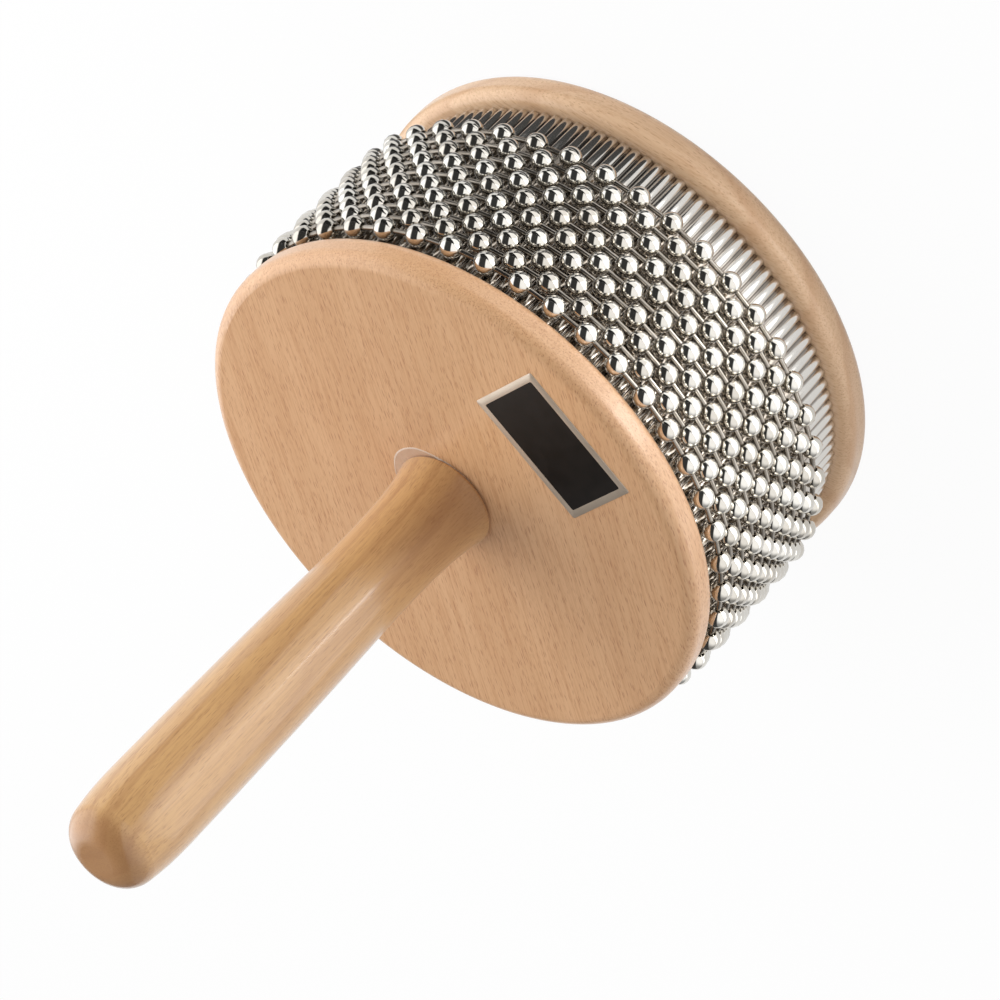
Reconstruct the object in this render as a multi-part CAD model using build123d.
from build123d import *
import math
import os

# Cabasa: a fluted steel drum between two beech discs on a turned handle, hung with loops of ball chain.
# Z runs along the drum's axis, from the rear disc's outer face, which it stands on, to the handle's end.
# X passes over the middle of the label place on the front disc. All sizes are in millimetres.

# Beech discs that close the drum
DISC_RADIUS = 60.0
DISC_THICKNESS = 8.0
DISC_EDGE_RADIUS = 2.9

# Drum: a wooden core wrapped in fluted sheet steel
DRUM_WIDTH = 49.4
FLUTE_CREST_RADIUS = 56.6
FLUTE_COUNT = 126
FLUTE_DEPTH = 0.8
FLUTE_CREST_SHARE = 0.78
SHEET_THICKNESS = 0.4
SLEEVE_FIT = 0.1
SLEEVE_END_GAP = 0.1

# Seam: both ends of the sheet are folded in and tucked into a saw kerf in the core
SEAM_ANGLE = 180.0
SEAM_GAP = 0.3
SEAM_TAB_DEPTH = 4.0
KERF_CLEARANCE = 0.15

# Handle, turned in one piece with the spigot that runs through the drum
HANDLE_LENGTH = 114.3
FOOT_RADIUS = 11.2
FOOT_EDGE_RADIUS = 0.9
FOOT_LEAN = 14.0
THROAT_RADIUS = 9.6
THROAT_HEIGHT = 15.0
NECK_RADIUS = 9.9
NECK_HEIGHT = 45.0
SWELL_RADIUS = 10.6
SWELL_HEIGHT = 96.0
TIP_LEAN = 8.0
TIP_EDGE_RADIUS = 6.0
TIP_FLAT_RADIUS = 3.9
SPIGOT_RADIUS = 7.0
SPIGOT_FIT = 0.1
SOCKET_DEPTH = 5.0
SOCKET_END_GAP = 0.3

# Ball chain: hollow beads joined by dumbbell links
BEAD_DIAMETER = 4.8
BEAD_WALL = 0.3
BEAD_HOLE_RADIUS = 0.88
LINK_RADIUS = 0.58
LINK_HEAD_RADIUS = 1.05
LINK_HEAD_THICKNESS = 0.45
LINK_HEAD_PLAY = 0.2

# Loops of chain laid round the drum, beads of one loop in the gaps of the next
LOOP_COUNT = 10
BEADS_PER_LOOP = 45
LOOP_CLEARANCE = 0.15
LOOP_FRONT_GAP = 0.85
LOOP_NEST_GAP = 0.71
LOOP_STAGGER = 0.513
FIRST_BEAD_ANGLE = 29.55

# Places along the axis
DRUM_BASE = DISC_THICKNESS
DRUM_TOP = DRUM_BASE + DRUM_WIDTH
HANDLE_BASE = DRUM_TOP + DISC_THICKNESS

# Radii that follow from the sleeve and from the spigot
VALLEY_RADIUS = FLUTE_CREST_RADIUS - FLUTE_DEPTH
SLEEVE_BORE_RADIUS = VALLEY_RADIUS - SHEET_THICKNESS
CORE_RADIUS = SLEEVE_BORE_RADIUS - SLEEVE_FIT
SPIGOT_BORE_RADIUS = SPIGOT_RADIUS + SPIGOT_FIT

# Chain geometry that follows from the drum
BEAD_RADIUS = BEAD_DIAMETER / 2
BEAD_INNER_RADIUS = BEAD_RADIUS - BEAD_WALL
BEAD_CIRCLE_RADIUS = FLUTE_CREST_RADIUS + LOOP_CLEARANCE + BEAD_RADIUS
BEAD_ANGLE = 360.0 / BEADS_PER_LOOP
LINK_CIRCLE_RADIUS = BEAD_CIRCLE_RADIUS * math.cos(math.radians(BEAD_ANGLE / 2))
BEAD_SPACING = 2 * BEAD_CIRCLE_RADIUS * math.sin(math.radians(BEAD_ANGLE / 2))

# Neighbouring loops close up until their beads are a nest gap apart, and never bead against link
BEAD_OFFSET = min(LOOP_STAGGER, 1 - LOOP_STAGGER) * BEAD_SPACING
NESTED_PITCH = math.sqrt(max((BEAD_DIAMETER + LOOP_NEST_GAP) ** 2 - BEAD_OFFSET ** 2, 0))
LOOP_PITCH = max(NESTED_PITCH, BEAD_RADIUS + LINK_RADIUS + LOOP_CLEARANCE)
FIRST_LOOP_HEIGHT = DRUM_TOP - LOOP_FRONT_GAP - BEAD_RADIUS


def polar(radius, angle):
    """Point in the XY plane at a radius and an angle in degrees."""
    return (radius * math.cos(math.radians(angle)), radius * math.sin(math.radians(angle)))


def disc_blank():
    """Turned disc with both rims rounded, standing on Z = 0."""
    disc = extrude(Circle(DISC_RADIUS), DISC_THICKNESS)
    return fillet(disc.edges(), DISC_EDGE_RADIUS)


def make_rear_disc():
    """Disc at the far end, with a blind socket for the end of the handle's spigot."""
    socket = extrude(Circle(SPIGOT_BORE_RADIUS), SOCKET_DEPTH)
    return disc_blank() - Pos(0, 0, DISC_THICKNESS - SOCKET_DEPTH) * socket


def make_front_disc():
    """Disc on the handle's side, bored through for the spigot."""
    bore = extrude(Circle(SPIGOT_BORE_RADIUS), DISC_THICKNESS)
    return Pos(0, 0, DRUM_TOP) * (disc_blank() - bore)


def seam_strip(width, inner_radius, outer_radius):
    """Narrow rectangle across the seam, between two radii."""
    middle = (inner_radius + outer_radius) / 2
    return Rot(0, 0, SEAM_ANGLE) * Pos(middle, 0) * Rectangle(outer_radius - inner_radius, width)


def make_core():
    """Turned wooden drum, bored for the spigot and sawn along one side for the sheet's ends."""
    kerf_width = SEAM_GAP + 2 * SHEET_THICKNESS + 2 * KERF_CLEARANCE
    kerf_floor = SLEEVE_BORE_RADIUS - SEAM_TAB_DEPTH - KERF_CLEARANCE
    kerf = seam_strip(kerf_width, kerf_floor, FLUTE_CREST_RADIUS)
    section = Circle(CORE_RADIUS) - Circle(SPIGOT_BORE_RADIUS) - kerf
    return Pos(0, 0, DRUM_BASE) * extrude(section, DRUM_WIDTH)


def flute_wave(crest_radius):
    """Closed wave round the drum: a wide crest arc and a narrow valley arc to each flute."""
    pitch = 360.0 / FLUTE_COUNT
    half_crest = pitch * FLUTE_CREST_SHARE / 2
    joint_radius = crest_radius - FLUTE_DEPTH * FLUTE_CREST_SHARE
    arcs = []
    for flute in range(FLUTE_COUNT):
        middle = SEAM_ANGLE + pitch * (flute + 0.5)
        rise = polar(joint_radius, middle - half_crest)
        crest = polar(crest_radius, middle)
        fall = polar(joint_radius, middle + half_crest)
        valley = polar(crest_radius - FLUTE_DEPTH, middle + pitch / 2)
        next_rise = polar(joint_radius, middle + pitch - half_crest)
        arcs.append(ThreePointArc(rise, crest, fall))
        arcs.append(ThreePointArc(fall, valley, next_rise))
    return Wire(arcs)


def make_sleeve():
    """Fluted sheet wrapped once round the core, its two ends folded in at the seam."""
    sheet = Face(flute_wave(FLUTE_CREST_RADIUS), [flute_wave(FLUTE_CREST_RADIUS - SHEET_THICKNESS)])
    tab_floor = SLEEVE_BORE_RADIUS - SEAM_TAB_DEPTH
    tabs = seam_strip(SEAM_GAP + 2 * SHEET_THICKNESS, tab_floor, VALLEY_RADIUS)
    slit = seam_strip(SEAM_GAP, tab_floor - SHEET_THICKNESS, FLUTE_CREST_RADIUS)
    section = Sketch() + sheet + tabs - slit
    return Pos(0, 0, DRUM_BASE + SLEEVE_END_GAP) * extrude(section, DRUM_WIDTH - 2 * SLEEVE_END_GAP)


def make_handle():
    """Turned handle: spigot, flared foot on the front disc, slim neck, swelling grip and round end."""
    spigot_end = DISC_THICKNESS - SOCKET_DEPTH + SOCKET_END_GAP
    foot_inset = FOOT_RADIUS - FOOT_EDGE_RADIUS
    tip = HANDLE_BASE + HANDLE_LENGTH
    tip_way = polar(1, 90 + TIP_LEAN)
    shoulder_x, shoulder_rise = polar(TIP_EDGE_RADIUS, TIP_LEAN)
    shank = Polyline(
        (TIP_FLAT_RADIUS, tip),
        (0, tip),
        (0, spigot_end),
        (SPIGOT_RADIUS, spigot_end),
        (SPIGOT_RADIUS, HANDLE_BASE),
        (foot_inset, HANDLE_BASE),
    )
    foot = JernArc(shank @ 1, (1, 0), FOOT_EDGE_RADIUS, 90 + FOOT_LEAN)
    grip = Spline(
        foot @ 1,
        (THROAT_RADIUS, HANDLE_BASE + THROAT_HEIGHT),
        (NECK_RADIUS, HANDLE_BASE + NECK_HEIGHT),
        (SWELL_RADIUS, HANDLE_BASE + SWELL_HEIGHT),
        (TIP_FLAT_RADIUS + shoulder_x, tip - TIP_EDGE_RADIUS + shoulder_rise),
        tangents=[foot % 1, tip_way],
    )
    end = JernArc(grip @ 1, tip_way, TIP_EDGE_RADIUS, 90 - TIP_LEAN)
    profile = make_face([*shank.edges(), *foot.edges(), *grip.edges(), *end.edges()])
    return revolve(Plane.XZ * profile, Axis.Z)


def make_bead():
    """Hollow ball, rolled from sheet, with a hole at each end of its X axis."""
    outer_end = math.sqrt(BEAD_RADIUS ** 2 - BEAD_HOLE_RADIUS ** 2)
    inner_end = math.sqrt(BEAD_INNER_RADIUS ** 2 - BEAD_HOLE_RADIUS ** 2)
    rim = BEAD_HOLE_RADIUS
    outside = ThreePointArc((-outer_end, rim), (0, BEAD_RADIUS), (outer_end, rim))
    inside = ThreePointArc((inner_end, rim), (0, BEAD_INNER_RADIUS), (-inner_end, rim))
    right = Line(outside @ 1, inside @ 0)
    left = Line(inside @ 1, outside @ 0)
    return revolve(make_face([outside, right, inside, left]), Axis.X)


def make_link():
    """Dumbbell pin along X, whose heads are caught inside two neighbouring beads."""
    shoulder_reach = math.sqrt(BEAD_INNER_RADIUS ** 2 - LINK_HEAD_RADIUS ** 2) - LINK_HEAD_PLAY
    shoulder = BEAD_SPACING / 2 - shoulder_reach
    end = shoulder + LINK_HEAD_THICKNESS
    outline = Polyline(
        (-end, 0),
        (-end, LINK_HEAD_RADIUS),
        (-shoulder, LINK_HEAD_RADIUS),
        (-shoulder, LINK_RADIUS),
        (shoulder, LINK_RADIUS),
        (shoulder, LINK_HEAD_RADIUS),
        (end, LINK_HEAD_RADIUS),
        (end, 0),
        close=True,
    )
    return revolve(make_face(outline.edges()), Axis.X)


def ring_of(piece, radius, height, first_angle):
    """One piece at each chain pitch round the drum, its X axis along the chain."""
    along_chain = Pos(radius, 0, height) * Rot(0, 0, 90) * piece
    angles = [first_angle + BEAD_ANGLE * place for place in range(BEADS_PER_LOOP)]
    return Compound([Rot(0, 0, angle) * along_chain for angle in angles])


os.makedirs("parts", exist_ok=True)
export_step(make_rear_disc(), "parts/rear_disc.step")
export_step(make_core(), "parts/drum_core.step")
export_step(make_sleeve(), "parts/fluted_sleeve.step")
export_step(make_front_disc(), "parts/front_disc.step")
export_step(make_handle(), "parts/handle.step")

bead = make_bead().solid()
link = make_link().solid()
for loop in range(LOOP_COUNT):
    height = FIRST_LOOP_HEIGHT - LOOP_PITCH * loop
    bead_angle = FIRST_BEAD_ANGLE - LOOP_STAGGER * BEAD_ANGLE * loop
    beads = ring_of(bead, BEAD_CIRCLE_RADIUS, height, bead_angle)
    links = ring_of(link, LINK_CIRCLE_RADIUS, height, bead_angle + BEAD_ANGLE / 2)
    export_step(beads, f"parts/chain_{loop + 1:02d}_beads.step")
    export_step(links, f"parts/chain_{loop + 1:02d}_links.step")
